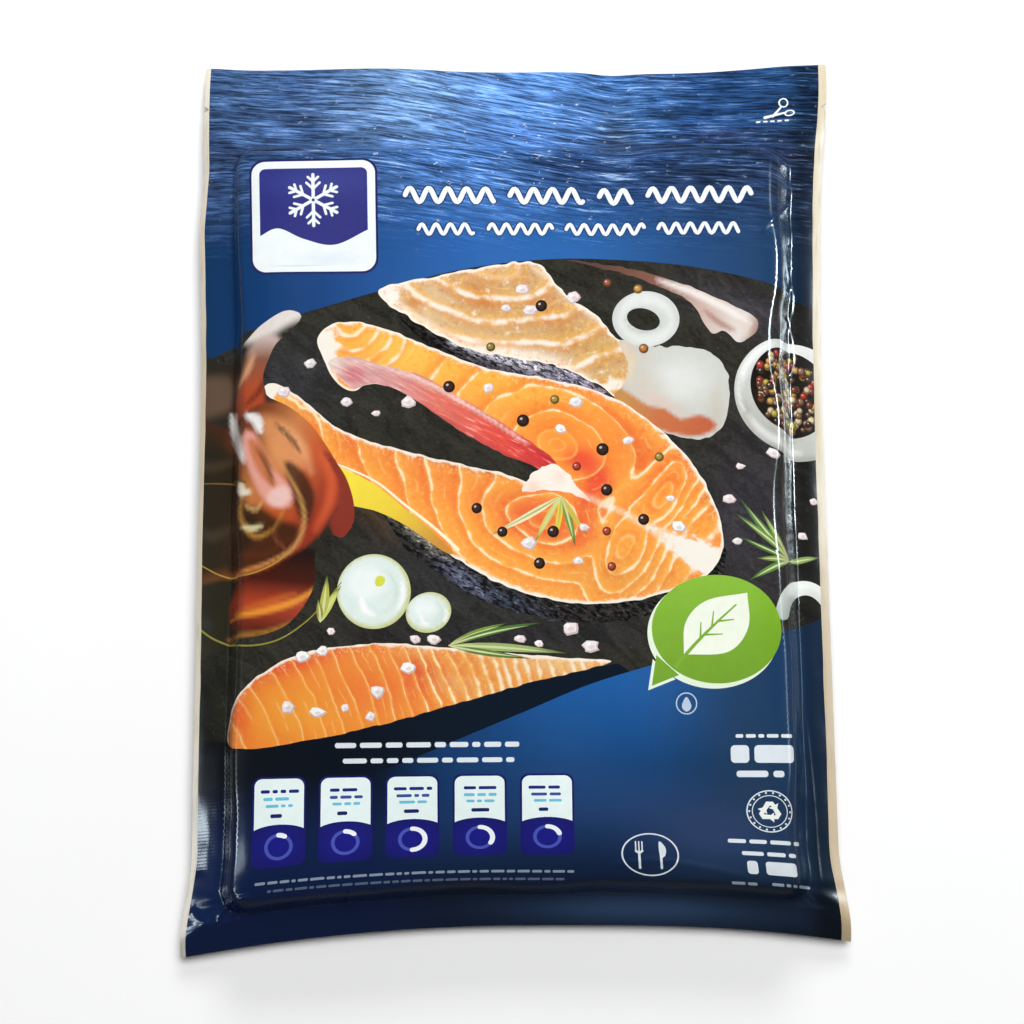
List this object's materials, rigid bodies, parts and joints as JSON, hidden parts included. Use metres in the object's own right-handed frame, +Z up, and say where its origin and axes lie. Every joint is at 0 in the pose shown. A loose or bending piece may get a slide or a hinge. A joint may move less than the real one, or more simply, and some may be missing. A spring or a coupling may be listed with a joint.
{
  "type": "pack of frozen salmon steaks",
  "caption": "Sealed flat pouch of frozen fish steaks, lying on its back: a filled body with steep sides and a flat printed front, inside welded borders and a top header with tear notches.",
  "frame": {"origin": "on the surface the pack rests on, under the middle of its bounding box", "axes": "+X to the pack's right seen from its printed front, +Y to its top edge with the tear notches, +Z up, out of the printed front"},
  "size_m": [0.25, 0.352, 0.0302],
  "materials": {
    "printed_film": "glossy printed laminate film"
  },
  "bodies": {
    "root": {"pouch": "printed_film"}
  },
  "joints": []
}
